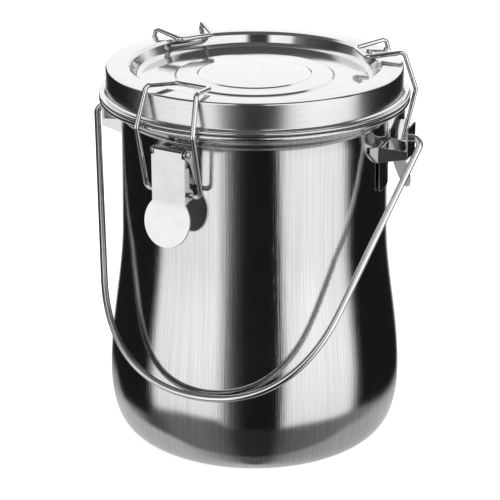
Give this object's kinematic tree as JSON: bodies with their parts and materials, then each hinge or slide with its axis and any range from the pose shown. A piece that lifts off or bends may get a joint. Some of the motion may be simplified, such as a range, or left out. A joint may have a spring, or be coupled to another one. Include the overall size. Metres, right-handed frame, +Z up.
{
  "type": "milk can",
  "caption": "Necked stainless steel milk can with a pressed lid clamped by over-centre wire latches and a swinging wire handle.",
  "frame": {"origin": "centre of the can's flat base, where it stands", "axes": "+Z up along the can's axis, -Y the front that faces the viewer, +X the viewer's right"},
  "size_m": [0.1608, 0.1558, 0.1913],
  "materials": {
    "steel_body": "polished stainless steel with fine upright brush lines",
    "steel_lid": "mirror-polished stainless steel, satin on the skirt",
    "steel_wire": "bright drawn stainless steel wire",
    "steel_sheet": "bright pressed stainless steel sheet",
    "silicone": "matt translucent white"
  },
  "bodies": {
    "can": {"can_body": "steel_body", "ear_left": "steel_sheet", "ear_right": "steel_sheet", "latch_front_bracket": "steel_sheet", "latch_front_pin": "steel_wire", "latch_right_bracket": "steel_sheet", "latch_right_pin": "steel_wire", "latch_back_bracket": "steel_sheet", "latch_back_pin": "steel_wire"},
    "lid": {"lid": "steel_lid", "lid_seal": "silicone"},
    "handle": {"bail_handle": "steel_wire"},
    "lever_front": {"latch_front_lever": "steel_sheet"},
    "loop_front": {"latch_front_loop": "steel_wire"},
    "lever_right": {"latch_right_lever": "steel_sheet"},
    "loop_right": {"latch_right_loop": "steel_wire"},
    "lever_back": {"latch_back_lever": "steel_sheet"},
    "loop_back": {"latch_back_loop": "steel_wire"}
  },
  "joints": [
    {"name": "lid_lift", "type": "slide", "parent": "can", "child": "lid", "axis": [0, 0, 1], "range_m": [0, 0.02]},
    {"name": "handle_swing", "type": "hinge", "parent": "can", "child": "handle", "pos_m": [0, 0, 0.1575], "axis": [-0.9367, 0.3502, 0], "range_deg": [0, 266]},
    {"name": "lever_front_turn", "type": "hinge", "parent": "can", "child": "lever_front", "pos_m": [-0.03831, -0.06202, 0.1616], "axis": [-0.8508, 0.5255, 0], "range_deg": [0, 143.24]},
    {"name": "loop_front_turn", "type": "hinge", "parent": "lever_front", "child": "loop_front", "pos_m": [-0.0372, -0.06024, 0.1415], "axis": [0.8508, -0.5255, 0], "range_deg": [0, 272.2]},
    {"name": "lever_right_turn", "type": "hinge", "parent": "can", "child": "lever_right", "pos_m": [0.07042, 0.01887, 0.1616], "axis": [0.2588, -0.9659, 0], "range_deg": [0, 143.24]},
    {"name": "loop_right_turn", "type": "hinge", "parent": "lever_right", "child": "loop_right", "pos_m": [0.06839, 0.01832, 0.1415], "axis": [-0.2588, 0.9659, 0], "range_deg": [0, 272.2]},
    {"name": "lever_back_turn", "type": "hinge", "parent": "can", "child": "lever_back", "pos_m": [-0.0396, 0.06121, 0.1616], "axis": [0.8396, 0.5432, 0], "range_deg": [0, 143.24]},
    {"name": "loop_back_turn", "type": "hinge", "parent": "lever_back", "child": "loop_back", "pos_m": [-0.03846, 0.05944, 0.1415], "axis": [-0.8396, -0.5432, 0], "range_deg": [0, 272.2]}
  ],
  "couplings": [
    {"joint": "lever_front_turn", "follows": "lid_lift", "rad_per_m": 125},
    {"joint": "loop_front_turn", "follows": "lid_lift", "rad_per_m": 237.5},
    {"joint": "lever_right_turn", "follows": "lid_lift", "rad_per_m": 125},
    {"joint": "loop_right_turn", "follows": "lid_lift", "rad_per_m": 237.5},
    {"joint": "lever_back_turn", "follows": "lid_lift", "rad_per_m": 125},
    {"joint": "loop_back_turn", "follows": "lid_lift", "rad_per_m": 237.5}
  ]
}
